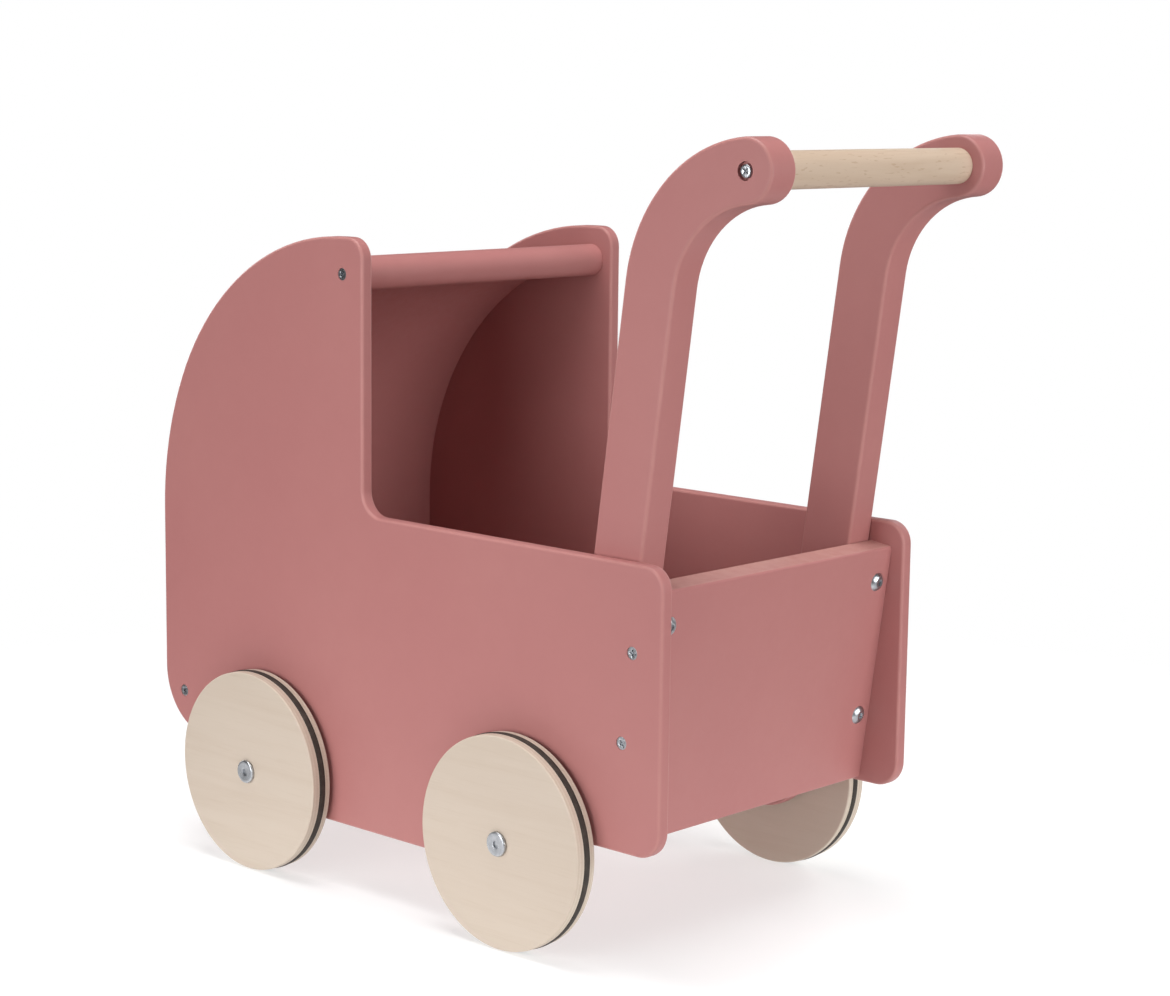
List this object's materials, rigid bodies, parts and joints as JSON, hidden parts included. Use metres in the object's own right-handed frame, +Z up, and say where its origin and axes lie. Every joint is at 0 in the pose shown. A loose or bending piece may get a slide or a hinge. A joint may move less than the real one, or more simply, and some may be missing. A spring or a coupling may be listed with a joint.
{
  "type": "doll stroller",
  "caption": "Wooden doll stroller: open tub with a quarter-round hood, leaning rear panel, curved arms with a dowel push bar, and turning wheels with rubber tyres.",
  "frame": {"origin": "on the ground, under the centre of the bounding box", "axes": "+X forwards, from the handle towards the hood; +Y to the left; +Z up"},
  "size_m": [0.5268, 0.2838, 0.4979],
  "materials": {
    "rose_paint": "satin rose-pink paint over smooth fibreboard and bent plywood",
    "beech": "clear satin lacquer on a pale beech dowel",
    "birch_ply": "clear matt lacquer on pale birch plywood",
    "black_rubber": "matt black rubber",
    "spacer_plastic": "matt off-white plastic",
    "zinc": "bright zinc-plated steel",
    "brass": "plain turned brass"
  },
  "bodies": {
    "body": {"side_panel_left": "rose_paint", "side_panel_right": "rose_paint", "rear_panel": "rose_paint", "floor_panel": "rose_paint", "hood_sheet": "rose_paint", "hood_rail": "rose_paint", "front_rail": "rose_paint", "arm_left": "rose_paint", "arm_right": "rose_paint", "handle_bar": "beech", "sleeve_rear_left": "zinc", "sleeve_rear_right": "zinc", "sleeve_front_left": "zinc", "sleeve_front_right": "zinc", "spacer_rear_left": "spacer_plastic", "spacer_rear_right": "spacer_plastic", "spacer_front_left": "spacer_plastic", "spacer_front_right": "spacer_plastic", "axle_bolt_rear_left": "zinc", "axle_bolt_rear_right": "zinc", "axle_bolt_front_left": "zinc", "axle_bolt_front_right": "zinc", "axle_washer_rear_left": "zinc", "axle_washer_rear_right": "zinc", "axle_washer_front_left": "zinc", "axle_washer_front_right": "zinc", "axle_nut_rear_left": "zinc", "axle_nut_rear_right": "zinc", "axle_nut_front_left": "zinc", "axle_nut_front_right": "zinc", "rear_bolts": "zinc", "arm_inserts": "brass", "side_screws": "zinc", "hood_rail_screws": "zinc", "front_rail_screws": "zinc", "handle_screws": "zinc"},
    "rear_left_wheel": {"wheel_rear_left": "birch_ply", "tyre_rear_left": "black_rubber"},
    "rear_right_wheel": {"wheel_rear_right": "birch_ply", "tyre_rear_right": "black_rubber"},
    "front_left_wheel": {"wheel_front_left": "birch_ply", "tyre_front_left": "black_rubber"},
    "front_right_wheel": {"wheel_front_right": "birch_ply", "tyre_front_right": "black_rubber"}
  },
  "joints": [
    {"name": "rear_left_wheel_spin", "type": "hinge", "parent": "body", "child": "rear_left_wheel", "pos_m": [-0.08362, 0.132, 0.0675], "axis": [0, 1, 0], "continuous": true},
    {"name": "rear_right_wheel_spin", "type": "hinge", "parent": "body", "child": "rear_right_wheel", "pos_m": [-0.08362, -0.132, 0.0675], "axis": [0, 1, 0], "continuous": true},
    {"name": "front_left_wheel_spin", "type": "hinge", "parent": "body", "child": "front_left_wheel", "pos_m": [0.15338, 0.132, 0.0675], "axis": [0, 1, 0], "continuous": true},
    {"name": "front_right_wheel_spin", "type": "hinge", "parent": "body", "child": "front_right_wheel", "pos_m": [0.15338, -0.132, 0.0675], "axis": [0, 1, 0], "continuous": true}
  ]
}
